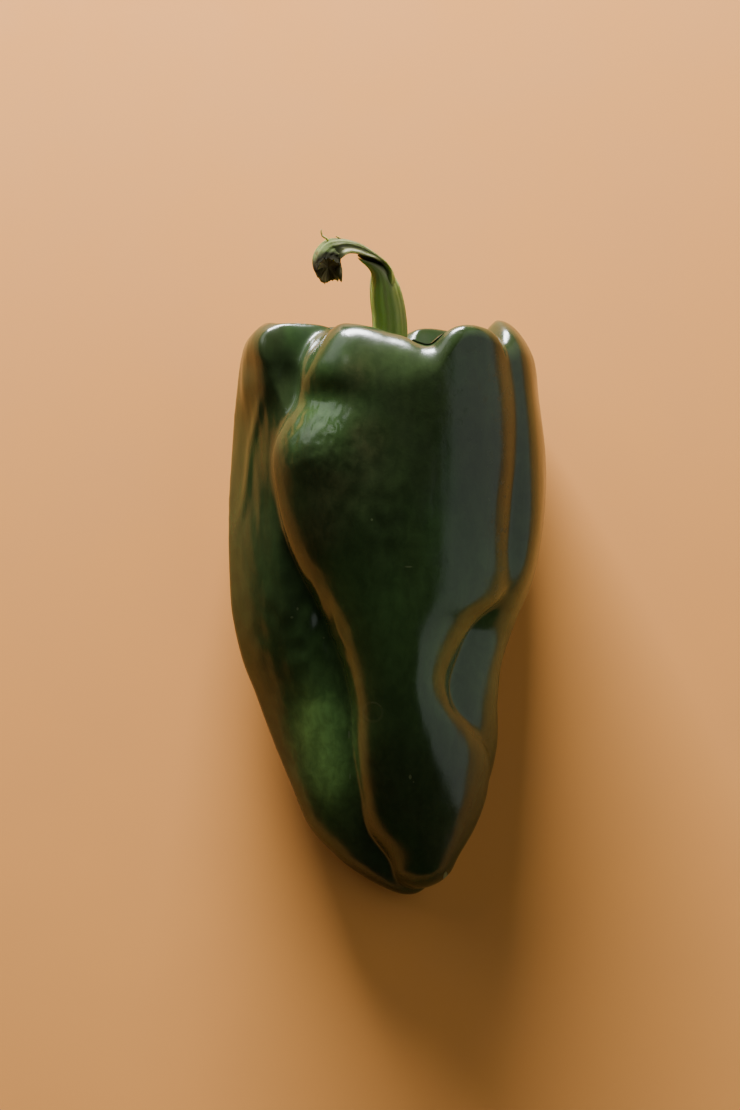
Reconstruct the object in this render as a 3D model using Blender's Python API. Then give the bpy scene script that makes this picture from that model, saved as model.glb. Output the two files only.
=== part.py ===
"""Poblano pepper lying on its side: pod, calyx and stem.

Metres, +Z up, the stem end toward +Y. The pod is designed in its own frame and then
tipped by POD_TILT: x to the right, t along the pod from its tip, h up from its axis.
The lists below hold millimetres in that frame.
"""

import math

import bmesh
import bpy
import numpy as np

MM = 0.001

# Pose of the pod on the table
POD_TILT = math.radians(10.0)
AXIS_HEIGHT_AT_TIP = 7.6
TIP_TO_CENTRE = 68.45

# Pod size along its axis
RECESS_FLOOR = 112.5
RECESS_LIP = 0.08
LOBE_BLEND = 0.6

# Grid of the pod
POD_ROWS = 72
POD_COLUMNS = 80
FINER_ON_TOP = 0.3

# Calyx and stem
CALYX_RADIUS = 8.6
CALYX_THICKNESS = 1.2
CALYX_SEAT = 115.9
CALYX_TEETH = 6
CALYX_ROWS = 12
CALYX_COLUMNS = 36
PIECE_GAP = 0.3
STEM_RIBS = 5
STEM_ROWS = 40
STEM_COLUMNS = 24

# Where the middle of each cross-section lies: (t, x) and (t, h)
MIDDLE_X = [(0.0, 4.5), (8.0, 3.4), (20.0, 1.6), (45.0, 0.0), (60.0, 0.0), (125.0, 0.0)]
MIDDLE_H = [(0.0, -3.0), (8.0, -2.0), (20.0, -1.0), (60.0, 0.0), (125.0, 0.0)]

# Each lobe's edges and ridge seen from above, and the heights of its top, its widest line
# and its foot: (t, value)
FRONT = {
    "left": [
        (2.0, 1.0), (8.4, -0.6), (15.0, -4.4), (24.0, -5.9), (32.5, -7.0), (43.0, -7.8), (51.6, -9.9),
        (60.0, -13.3), (68.5, -17.5), (77.0, -21.1), (85.5, -23.4), (96.0, -24.0), (106.5, -20.0),
        (115.0, -18.6), (125.0, -18.0),
    ],
    "right": [
        (2.0, 12.6), (8.4, 15.2), (15.0, 18.9), (24.0, 21.6), (32.5, 21.0), (38.0, 17.4), (43.0, 13.6),
        (47.5, 12.9), (51.6, 14.2), (56.0, 16.3), (60.0, 19.0), (64.3, 23.7), (68.5, 25.1),
        (77.0, 25.8), (85.5, 26.6), (96.0, 26.6), (106.5, 26.2), (115.0, 25.3), (125.0, 25.0),
    ],
    "ridge": [(2.0, 8.0), (8.4, 8.0), (15.0, 6.6), (24.0, 5.6), (40.0, 3.8), (60.0, 3.0), (85.0, 2.4), (125.0, 2.4)],
    "top": [
        (2.0, 4.0), (8.4, 8.0), (15.0, 11.6), (24.0, 15.4), (32.5, 18.0), (43.0, 20.0), (51.6, 21.5),
        (60.0, 23.0), (68.5, 24.2), (77.0, 25.2), (85.5, 25.8), (96.0, 26.0), (106.5, 26.0), (125.0, 26.0),
    ],
    "left_belt": [
        (2.0, -3.0), (15.0, -1.0), (24.0, 4.0), (32.5, 8.0), (43.0, 11.0), (60.0, 13.0), (80.0, 15.5), (125.0, 16.0),
    ],
    "right_belt": [
        (2.0, -3.0), (15.0, -3.5), (24.0, -2.0), (32.5, 4.0), (38.0, 10.0), (43.0, 13.0), (51.6, 13.0),
        (60.0, 13.5), (68.5, 15.0), (85.0, 15.5), (125.0, 15.5),
    ],
    "foot": [(2.0, -4.5), (15.0, -8.0), (32.5, -8.0), (51.6, -5.0), (68.5, -3.5), (125.0, -3.0)],
    "flatness": [(2.0, 2.2), (24.0, 2.5), (60.0, 2.8), (125.0, 2.8)],
    "flank": [(2.0, 1.7), (24.0, 1.4), (60.0, 1.3), (125.0, 1.3)],
    "start": 1.5,
    "nose": 7.5,
}
LEFT = {
    "left": [
        (0.0, -3.0), (3.7, -6.8), (8.0, -10.6), (14.5, -16.6), (23.1, -20.5), (31.7, -24.0),
        (42.5, -28.2), (51.1, -31.5), (59.8, -33.5), (68.4, -34.3), (85.7, -34.4), (96.4, -33.9),
        (107.2, -33.0), (115.8, -31.8), (120.6, -31.1), (125.0, -29.4),
    ],
    "right": [
        (0.0, 12.0), (8.0, 12.0), (23.1, 12.0), (42.5, 13.0), (59.8, 10.0), (85.7, 2.0), (125.0, 0.0),
    ],
    "ridge": [
        (0.0, 2.0), (8.0, -2.0), (23.1, -6.5), (42.5, -12.0), (59.8, -19.5), (70.0, -22.6), (85.7, -23.4),
        (98.0, -23.6), (103.5, -24.0), (108.5, -26.0), (125.0, -26.0),
    ],
    "top": [
        (0.0, 2.0), (8.0, 4.0), (23.1, 8.5), (42.5, 11.0), (59.8, 12.0), (85.7, 13.0), (107.2, 13.6), (125.0, 13.6),
    ],
    "left_belt": [
        (0.0, -3.5), (8.0, -4.0), (23.1, -1.5), (42.5, 1.0), (58.0, 2.6), (65.0, 1.6), (71.0, 0.5), (78.0, 0.3),
        (102.0, 0.3), (110.0, 0.0), (125.0, 0.0),
    ],
    "right_belt": [(0.0, -3.5), (8.0, -4.5), (42.5, -4.0), (60.0, 0.0), (85.0, 2.0), (100.0, 2.0), (108.0, 0.0), (125.0, 0.0)],
    "foot": [
        (0.0, -8.0), (8.0, -9.0), (14.0, -10.4), (23.1, -11.0), (42.5, -13.5), (59.8, -16.0), (85.7, -21.5),
        (106.0, -26.8), (125.0, -26.0),
    ],
    "left_flatness": [
        (0.0, 2.0), (23.0, 2.5), (42.0, 2.8), (57.0, 2.5), (63.0, 1.8), (69.0, 1.26), (74.0, 1.2), (92.0, 1.2),
        (100.0, 1.2), (103.5, 1.3), (109.0, 2.2), (125.0, 2.2),
    ],
    "right_flatness": [(0.0, 2.0), (23.0, 2.6), (98.0, 2.8), (125.0, 2.6)],
    "flank": [
        (0.0, 1.9), (10.0, 1.7), (23.0, 1.25), (35.0, 1.08), (42.0, 1.05), (57.0, 1.05), (72.0, 1.08), (92.0, 1.08),
        (100.0, 1.08), (103.5, 1.15), (109.0, 1.6), (125.0, 1.6),
    ],
    "start": 0.0,
    "nose": 9.0,
}
RIGHT = {
    "left": [(8.0, -2.0), (23.1, -4.0), (42.5, -3.0), (59.8, -1.0), (85.7, 1.0), (125.0, 1.0)],
    "right": [
        (8.0, 12.5), (14.5, 18.0), (23.1, 22.0), (31.7, 24.0), (42.5, 23.8), (51.1, 24.8), (59.8, 28.2),
        (68.4, 31.7), (77.0, 33.5), (85.7, 34.4), (96.4, 34.4), (107.2, 33.3), (115.8, 32.3), (118.6, 31.4),
        (121.9, 30.4), (125.0, 29.6),
    ],
    "ridge": [
        (8.0, 5.0), (23.1, 8.0), (31.7, 9.0), (42.5, 9.5), (50.0, 10.0), (55.0, 12.0), (60.0, 18.0), (66.0, 22.0),
        (85.7, 23.0), (125.0, 23.0),
    ],
    "top": [
        (8.0, 4.0), (23.1, 7.0), (31.7, 10.5), (38.0, 12.6), (44.0, 13.4), (49.0, 12.8), (53.0, 11.0), (57.0, 9.5),
        (61.0, 10.3), (66.0, 13.0), (70.0, 14.5), (77.0, 15.3), (85.7, 15.5), (125.0, 15.5),
    ],
    "belt": [(8.0, -4.0), (31.7, -3.0), (40.0, 1.5), (52.0, 1.5), (60.0, -4.0), (85.0, -7.5), (125.0, -9.0)],
    "foot": [
        (8.0, -7.0), (23.1, -10.0), (42.5, -13.0), (59.8, -15.5), (85.7, -21.0), (106.0, -26.8), (125.0, -26.0),
    ],
    "flatness": [(0.0, 2.2), (40.0, 2.6), (54.0, 2.6), (64.0, 3.2), (125.0, 3.2)],
    "flank": [(0.0, 1.9), (40.0, 2.0), (54.0, 2.0), (64.0, 2.6), (125.0, 2.6)],
    "start": 8.0,
    "nose": 16.0,
}
BACK = {
    "left": [(10.0, -8.0), (42.5, -15.0), (85.7, -19.0), (125.0, -19.0)],
    "right": [(10.0, 12.0), (42.5, 15.0), (85.7, 19.0), (125.0, 19.0)],
    "ridge": [(10.0, 2.0), (42.5, 0.0), (125.0, 0.0)],
    "top": [(10.0, 2.0), (85.7, 4.0), (125.0, 4.0)],
    "belt": [(10.0, -3.0), (42.5, -6.0), (85.7, -9.0), (125.0, -10.0)],
    "foot": [(10.0, -8.0), (42.5, -14.0), (85.7, -22.0), (106.0, -25.6), (125.0, -25.0)],
    "flatness": [(0.0, 2.0), (125.0, 2.3)],
    "flank": [(0.0, 2.0), (125.0, 2.3)],
    "start": 8.0,
    "nose": 20.0,
}
LOBES = [FRONT, LEFT, RIGHT, BACK]

# How square the lower half of each lobe is in section, 2 being an ellipse: (t, power)
SQUARENESS = [(0.0, 2.0), (40.0, 2.05), (70.0, 2.3), (125.0, 2.35)]

# Height of the shoulder round the stem end, how far its rounding reaches in from the side
# and how far along the pod: (degrees from +x toward +h, value)
SHOULDER = [
    (-180.0, 123.8), (-152.0, 121.0), (-122.0, 125.0), (-92.0, 121.5), (-62.0, 124.6), (-30.0, 121.0),
    (-2.0, 123.8), (12.0, 124.0), (20.0, 123.0), (26.0, 121.2), (30.0, 118.6), (33.5, 117.6), (37.0, 119.2),
    (41.5, 120.4), (46.0, 120.9), (51.0, 121.2), (58.0, 120.8), (63.5, 119.2), (68.5, 117.3), (73.0, 117.7),
    (79.0, 119.0), (90.0, 120.4), (102.0, 121.5), (112.0, 122.1), (121.0, 122.1), (127.0, 121.2),
    (131.0, 120.0), (135.0, 119.0), (140.0, 120.6), (146.0, 122.4), (158.0, 123.0), (170.0, 123.6),
]
ROUND_ACROSS = [
    (-180.0, 5.2), (-120.0, 7.0), (-60.0, 7.0), (-10.0, 5.6), (20.0, 4.8), (29.0, 2.8), (35.0, 1.9), (43.0, 2.0),
    (58.0, 2.4), (66.0, 5.0), (74.0, 8.2), (82.0, 8.6), (118.0, 8.6), (130.0, 6.8), (140.0, 4.8), (155.0, 4.4),
    (172.0, 5.0),
]
ROUND_ALONG = [
    (-180.0, 9.0), (-120.0, 12.0), (-60.0, 12.0), (-10.0, 9.5), (20.0, 7.5), (29.0, 5.0), (35.0, 3.6), (43.0, 3.2),
    (58.0, 3.2), (66.0, 7.5), (74.0, 12.5), (82.0, 14.0), (118.0, 14.0), (130.0, 11.0), (140.0, 8.0), (155.0, 7.5),
    (172.0, 8.5),
]

# Dents (negative) and swellings of the upper skin: (x, t, spread in x, spread in t, amount)
RELIEF = [
    (-14.5, 106.0, 8.0, 4.0, -1.4),
    (-15.5, 94.5, 6.5, 5.5, 1.1),
    (8.0, 121.0, 3.0, 6.0, -1.0),
    (-22.8, 111.5, 2.6, 4.6, -1.2),
    (-16.0, 62.0, 3.2, 10.0, -0.8),
]

# Stem: (x, t, h) along its middle and (half width in the plane of the bend, half height)
STEM_PATH = [
    (0.0, 116.8, 1.2), (0.0, 118.6, 1.3), (0.3, 122.0, 4.2), (-0.2, 126.6, 8.2), (-0.75, 129.4, 10.2),
    (-1.1, 131.5, 11.6), (-1.9, 133.4, 12.8), (-3.2, 135.1, 13.9), (-5.1, 136.7, 14.7), (-7.9, 138.0, 15.3),
    (-10.2, 137.9, 15.6), (-12.0, 136.9, 15.9), (-12.8, 135.3, 16.6), (-12.8, 133.7, 17.7),
]
STEM_SIZE = [
    (4.6, 4.6), (4.0, 4.0), (3.8, 3.8), (3.5, 3.6), (3.2, 3.4), (2.7, 3.2), (2.25, 3.0), (1.85, 2.8),
    (1.45, 2.6), (1.35, 2.4), (1.7, 2.4), (2.4, 2.7), (2.9, 3.0), (3.1, 3.2),
]
STEM_END_CUP = 2.4
STEM_END_TEETH = 1.2

# Dry fibre left standing on the torn end: its route (x, t, h) and its radius
FIBRE_PATH = [(-11.8, 138.0, 16.6), (-12.6, 139.3, 17.3), (-13.6, 140.0, 17.6), (-13.9, 141.5, 17.6)]
FIBRE_RADIUS = 0.25


def curve_at(points, at):
    """The smooth line through (place, value) points, read at each place in `at`."""
    places = np.array([p[0] for p in points], float)
    values = np.array([p[1] for p in points], float)
    slopes = np.gradient(values, places)
    at = np.clip(at, places[0], places[-1])
    i = np.clip(np.searchsorted(places, at, side="right") - 1, 0, len(places) - 2)
    span = places[i + 1] - places[i]
    f = (at - places[i]) / span
    start = (1.0 + 2.0 * f) * (1.0 - f) ** 2 * values[i] + f * (1.0 - f) ** 2 * span * slopes[i]
    end = f * f * (3.0 - 2.0 * f) * values[i + 1] - f * f * (1.0 - f) * span * slopes[i + 1]
    return start + end


def round_curve_at(points, degrees):
    """curve_at for a list that closes on itself after 360 degrees."""
    before = [(p[0] - 360.0, p[1]) for p in points[-3:]]
    after = [(p[0] + 360.0, p[1]) for p in points[:3]]
    degrees = (degrees + 180.0) % 360.0 - 180.0
    return curve_at(before + points + after, degrees)


def smooth_step(f):
    return f * f * (3.0 - 2.0 * f)


def lobes_at(t):
    """Every lobe's lines, powers and presence (0 to 1) at the stations t."""
    found = []
    for lobe in LOBES:
        at = {name: curve_at(line, t) for name, line in lobe.items() if isinstance(line, list)}
        for line in ("belt", "flatness"):
            for side in ("left", "right"):
                at.setdefault(f"{side}_{line}", at.get(line))
        grown = np.clip((t - lobe["start"]) / lobe["nose"], 0.0, 1.0)
        size = np.sqrt(np.maximum(1.0 - (1.0 - grown) ** 2, 1e-6))
        mid_x = 0.5 * (at["left"] + at["right"])
        mid_h = 0.5 * (at["top"] + at["foot"])
        for line in ("left", "right", "ridge"):
            at[line] = mid_x + (at[line] - mid_x) * size
        for line in ("top", "foot", "left_belt", "right_belt"):
            at[line] = mid_h + (at[line] - mid_h) * size
        at["present"] = smooth_step(np.clip(2.0 * grown, 0.0, 1.0)) if lobe["start"] else np.ones_like(t)
        found.append(at)
    return found


def inside(x, h, lobes, squareness):
    """Negative inside the union of the lobes, about in millimetres."""
    total = np.zeros_like(x)
    for at in lobes:
        half_x = np.where(x > at["ridge"], at["right"] - at["ridge"], at["ridge"] - at["left"])
        belt = np.where(x > at["ridge"], at["right_belt"], at["left_belt"])
        upper = h > belt
        half_h = np.where(upper, at["top"] - belt, belt - at["foot"])
        flatness = np.where(x > at["ridge"], at["right_flatness"], at["left_flatness"])
        power_x = np.where(upper, flatness, squareness)
        power_h = np.where(upper, at["flank"], squareness)
        from_x = np.abs(x - at["ridge"]) / half_x
        from_h = np.abs(h - belt) / half_h
        reach = (from_x**power_x + from_h**power_h) ** (2.0 / (power_x + power_h))
        total += at["present"] * np.exp(-(reach - 1.0) * np.minimum(half_x, half_h) / LOBE_BLEND)
    return -LOBE_BLEND * np.log(np.maximum(total, 1e-30))


def middle(t):
    """Middle of the section at station t, as (x, h)."""
    return curve_at(MIDDLE_X, t), curve_at(MIDDLE_H, t)


def section_radius(angle, t):
    """Distance from the middle of the section to the skin, by halving along the ray."""
    mid_x, mid_h = middle(t)
    lobes = lobes_at(t)
    squareness = curve_at(SQUARENESS, t)
    near = np.zeros_like(t)
    far = np.full_like(t, 60.0)
    for _ in range(20):
        half = 0.5 * (near + far)
        x = mid_x + half * np.cos(angle)
        h = mid_h + half * np.sin(angle)
        within = inside(x, h, lobes, squareness) < 0.0
        near = np.where(within, half, near)
        far = np.where(within, far, half)
    return near


def sunk(inward):
    """Share of the recess depth at this share of the way in from its crest."""
    along = inward * inward / (inward + RECESS_LIP) * (1.0 + RECESS_LIP)
    return 1.0 - (1.0 - along) ** 3


def recess_depth_at(radius, angle):
    """Station t of the sunken stem end at this distance from its middle."""
    crest = round_curve_at(SHOULDER, np.degrees(angle))
    rim = section_radius(angle, crest) - round_curve_at(ROUND_ACROSS, np.degrees(angle))
    inward = np.clip(1.0 - radius / rim, 0.0, 1.0)
    return crest - (crest - RECESS_FLOOR) * sunk(inward)


def pod_surface(row, angle):
    """Pod skin (x, t, h) for row 0 at the tip to 1 at the middle of the recess."""
    side_end = 0.70
    crest_row = 0.84
    crest = round_curve_at(SHOULDER, np.degrees(angle))
    round_across = round_curve_at(ROUND_ACROSS, np.degrees(angle))
    round_along = round_curve_at(ROUND_ALONG, np.degrees(angle))
    side_length = crest - round_along

    along = np.clip(row / side_end, 0.0, 1.0)
    nose = 0.16
    spaced = (np.sqrt(along**2 + nose**2) - nose) / (math.sqrt(1.0 + nose**2) - nose)
    turn = 0.5 * math.pi * np.clip((row - side_end) / (crest_row - side_end), 0.0, 1.0)
    t = side_length * spaced + round_along * np.sin(turn)
    radius = section_radius(angle, t) - round_across * (1.0 - np.cos(turn))

    inward = np.clip((row - crest_row) / (1.0 - crest_row), 0.0, 1.0)
    radius = radius * (1.0 - inward)
    t = t - (crest - RECESS_FLOOR) * sunk(inward)
    radius = np.where(row <= 0.0, 0.0, radius)

    mid_x, mid_h = middle(t)
    x = mid_x + radius * np.cos(angle)
    h = mid_h + radius * np.sin(angle)
    upper = smooth_step(np.clip((h + 4.0) / 8.0, 0.0, 1.0)) * (inward <= 0.0)
    for at_x, at_t, wide, long, amount in RELIEF:
        bump = amount * upper * np.exp(-(((x - at_x) / wide) ** 2) - ((t - at_t) / long) ** 2)
        x = x + bump * np.cos(angle)
        h = h + bump * np.sin(angle)
    return x, t, h


def to_world(x, t, h):
    """From the pod's own frame in millimetres to the table in metres."""
    y = t * math.cos(POD_TILT) - h * math.sin(POD_TILT) - TIP_TO_CENTRE
    z = t * math.sin(POD_TILT) + h * math.cos(POD_TILT) + AXIS_HEIGHT_AT_TIP
    return np.stack([x, y, z], axis=1) * MM


def pod_points(row, angle):
    """The pod in the world, pressed flat where it stands on the table."""
    angle = angle + FINER_ON_TOP * np.cos(angle)
    world = to_world(*pod_surface(row, angle))
    world[:, 2] = np.maximum(world[:, 2], 0.0)
    return world


def calyx_points(row, angle):
    """A thin cap that follows the recess: its under side first, then its top."""
    under = np.clip(row / 0.5, 0.0, 1.0)
    over = np.clip((1.0 - row) / 0.5, 0.0, 1.0)
    out = np.where(row <= 0.5, under, over)
    edge = CALYX_RADIUS * (1.0 + 0.09 * np.cos(CALYX_TEETH * angle))
    radius = edge * np.sin(0.5 * math.pi * out)
    floor = recess_depth_at(radius, angle) + PIECE_GAP
    thick = CALYX_THICKNESS * np.sqrt(np.maximum(1.0 - (radius / edge) ** 2, 0.0))
    top = np.maximum(floor + thick, np.where(out < 0.5, CALYX_SEAT, 0.0))
    t = np.where(row <= 0.5, floor, top)
    mid_x, mid_h = middle(t)
    return to_world(mid_x + radius * np.cos(angle), t, mid_h + radius * np.sin(angle))


def stem_points(row, angle):
    """The stem: row 0 in the middle of its foot, 1 in the middle of its torn end."""
    foot_rows = 0.08
    end_rows = 0.88
    places = np.arange(len(STEM_PATH), dtype=float)
    last = places[-1]
    along = last * np.clip((row - foot_rows) / (end_rows - foot_rows), 0.0, 1.0)

    def path(at):
        return [curve_at([(p, STEM_PATH[int(p)][i]) for p in places], at) for i in range(3)]

    x, t, h = path(along)
    step = 0.05
    ahead = path(np.clip(along + step, 0.0, last))
    behind = path(np.clip(along - step, 0.0, last))
    run = np.stack([a - b for a, b in zip(ahead, behind)], axis=1)
    run /= np.linalg.norm(run, axis=1, keepdims=True)
    up = np.array([[0.0, 0.0, 1.0]])
    side = np.cross(run, up)
    side /= np.linalg.norm(side, axis=1, keepdims=True)
    over = np.cross(side, run)

    wide = curve_at([(p, STEM_SIZE[int(p)][0]) for p in places], along)
    high = curve_at([(p, STEM_SIZE[int(p)][1]) for p in places], along)
    rib = 1.0 + 0.07 * np.cos(STEM_RIBS * angle + 0.6)
    foot = np.clip(row / foot_rows, 0.0, 1.0)
    end = np.clip((1.0 - row) / (1.0 - end_rows), 0.0, 1.0)
    closing = np.where(row < foot_rows, foot, np.where(row > end_rows, end, 1.0))
    reach_side = (wide * rib * closing * np.cos(angle))[:, None]
    reach_over = (high * rib * closing * np.sin(angle))[:, None]
    middle_line = np.stack([x, t, h], axis=1)
    points = middle_line + side * reach_side + over * reach_over

    from_low_side = angle + 0.5 * math.pi
    low_side = 0.6 + 0.4 * np.cos(from_low_side)
    teeth = STEM_END_TEETH * (0.3 * np.sin(3.0 * angle) - low_side * np.cos(4.0 * from_low_side))
    near_end = np.clip((row - end_rows + 0.08) / 0.08, 0.0, 1.0) * closing
    cup = -STEM_END_CUP * (1.0 - closing**2) * (row > end_rows)
    points = points + run * (teeth * near_end + cup)[:, None]
    return to_world(points[:, 0], points[:, 1], points[:, 2])


def material(name, colour, roughness):
    made = bpy.data.materials.new(name)
    made.use_nodes = True
    shader = made.node_tree.nodes["Principled BSDF"]
    shader.inputs["Base Color"].default_value = (*colour, 1.0)
    shader.inputs["Roughness"].default_value = roughness
    shader.inputs["Metallic"].default_value = 0.0
    return made


def grown_piece(name, rows, columns, place, skin, collection):
    """A sphere whose rows run from pole to pole, each vertex moved by the piece's formula."""
    grid = bmesh.new()
    bmesh.ops.create_uvsphere(grid, u_segments=columns, v_segments=rows, radius=1.0)
    at = np.array([vert.co[:] for vert in grid.verts])
    row = 1.0 - np.arccos(np.clip(at[:, 2], -1.0, 1.0)) / math.pi
    row = np.round(row * rows) / rows
    angle = np.arctan2(at[:, 1], at[:, 0])
    angle[(row == 0.0) | (row == 1.0)] = 0.0
    for vert, point in zip(grid.verts, place(row, angle)):
        vert.co = point
    bmesh.ops.reverse_faces(grid, faces=grid.faces)
    mesh = bpy.data.meshes.new(name)
    grid.to_mesh(mesh)
    grid.free()
    mesh.shade_smooth()
    mesh.materials.append(skin)
    piece = bpy.data.objects.new(name, mesh)
    collection.objects.link(piece)
    return piece


def add_fibre(stem, collection, cutters):
    """Joins the dry fibre to the stem with a Boolean union."""
    route = bpy.data.curves.new("fibre route", "CURVE")
    route.dimensions = "3D"
    route.bevel_depth = FIBRE_RADIUS * MM
    route.bevel_resolution = 1
    route.use_fill_caps = True
    line = route.splines.new("POLY")
    line.points.add(len(FIBRE_PATH) - 1)
    places = to_world(*np.array(FIBRE_PATH).T)
    for point, place in zip(line.points, places):
        point.co = (*place, 1.0)
    guide = bpy.data.objects.new("fibre route", route)
    collection.objects.link(guide)
    mesh = bpy.data.meshes.new_from_object(guide)
    bpy.data.objects.remove(guide)
    closed = bmesh.new()
    closed.from_mesh(mesh)
    bmesh.ops.remove_doubles(closed, verts=closed.verts, dist=1e-6)
    closed.to_mesh(mesh)
    closed.free()
    fibre = bpy.data.objects.new("fibre", mesh)
    fibre.hide_render = True
    fibre.display_type = "WIRE"
    cutters.objects.link(fibre)
    join = stem.modifiers.new("Fibre", "BOOLEAN")
    join.operation = "UNION"
    join.solver = "EXACT"
    join.object = fibre


def main():
    for old in list(bpy.data.objects):
        bpy.data.objects.remove(old)
    pepper = bpy.data.collections.new("Poblano pepper")
    helpers = bpy.data.collections.new("Helpers")
    helpers.hide_render = True
    bpy.context.scene.collection.children.link(pepper)
    bpy.context.scene.collection.children.link(helpers)
    dark_green = material("Pod skin", (0.014, 0.030, 0.010), 0.22)
    mid_green = material("Calyx green", (0.10, 0.17, 0.03), 0.5)
    olive_green = material("Stem green", (0.16, 0.21, 0.05), 0.55)
    grown_piece("pod", POD_ROWS, POD_COLUMNS, pod_points, dark_green, pepper)
    grown_piece("calyx", CALYX_ROWS, CALYX_COLUMNS, calyx_points, mid_green, pepper)
    stem = grown_piece("stem", STEM_ROWS, STEM_COLUMNS, stem_points, olive_green, pepper)
    add_fibre(stem, pepper, helpers)


main()
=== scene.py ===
"""Visible model of the poblano pepper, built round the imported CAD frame.

Metres, +Z up. Each piece is shaped in the pod's own frame, in millimetres: x to the right,
t along the pod from its tip, h up from its axis. Pod and calyx use the CAD model's formulas,
with lists refined here and small relief added. The stem is drawn as its separate strands.
"""

import math

import bmesh
import bpy
import numpy as np
from mathutils import Matrix, Vector, noise


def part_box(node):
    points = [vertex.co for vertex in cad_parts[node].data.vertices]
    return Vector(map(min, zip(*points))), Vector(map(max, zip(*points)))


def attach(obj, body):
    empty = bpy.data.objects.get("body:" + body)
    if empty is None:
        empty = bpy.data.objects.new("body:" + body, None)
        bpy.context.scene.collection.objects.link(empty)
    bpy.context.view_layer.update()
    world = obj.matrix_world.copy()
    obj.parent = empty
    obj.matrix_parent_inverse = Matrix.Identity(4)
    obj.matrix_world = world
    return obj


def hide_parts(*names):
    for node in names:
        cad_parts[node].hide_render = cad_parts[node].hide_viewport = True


MM = 0.001

# Pose of the pod on the table, and the station t of the table's origin
POD_TILT = math.radians(10.0)
AXIS_HEIGHT_AT_TIP = 7.6
TIP_TO_CENTRE = 68.45
ORIGIN_T = TIP_TO_CENTRE * math.cos(POD_TILT) - AXIS_HEIGHT_AT_TIP * math.sin(POD_TILT)

# Sunken stem end: the station t of its floor, and the share of the way in that its lip takes.
# Then how softly the lobes run together, in millimetres.
RECESS_FLOOR = 112.5
RECESS_LIP = 0.08
LOBE_BLEND = 0.35

# Search for the skin along a ray: a distance beyond any skin, and how often it is halved
FAR_OUTSIDE = 60.0
HALVINGS = 20

# Grid of the pod: rows and columns, how much finer it is on top, the shares of its rows where
# the sides and the shoulder end, and how close the rows lie at the tip
POD_ROWS = 270
POD_COLUMNS = 330
FINER_ON_TOP = 0.3
SIDE_END = 0.70
CREST_ROW = 0.84
TIP_SPACING = 0.16

# Calyx: its middle rises to the station t of the stem's seat, scallop and vein are the depth of
# its teeth as a share of the radius and the height of its veins, and the gap lies under it
CALYX_RADIUS = 8.6
CALYX_THICKNESS = 1.2
CALYX_SEAT = 115.9
CALYX_TEETH = 6
CALYX_SCALLOP = 0.09
CALYX_VEIN = 0.16
CALYX_ROWS = 60
CALYX_COLUMNS = 144
PIECE_GAP = 0.3

# Stem: ribs with their height as a share of the radius and their turn, how the fine ribs twist
# along it, the cup and teeth of its torn end, its grid, and what its material reads
STEM_RIBS = 5
RIB_HEIGHT = 0.05
RIB_TURN = 0.6
FINE_RIB_TWIST = 0.4
STEM_END_CUP = 1.4
STEM_END_TEETH = 1.2
STEM_ROWS = 220
STEM_COLUMNS = 120
STEM_LOOKS = ("along", "ring", "ridge", "cream", "lively", "weathered", "dry", "dark")

# Where the middle of each cross-section lies: (t, x) and (t, h)
MIDDLE_X = [(0.0, 4.5), (8.0, 3.4), (20.0, 1.6), (45.0, 0.0), (60.0, 0.0), (125.0, 0.0)]
MIDDLE_H = [(0.0, -3.0), (8.0, -2.0), (20.0, -1.0), (60.0, 0.0), (125.0, 0.0)]

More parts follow.
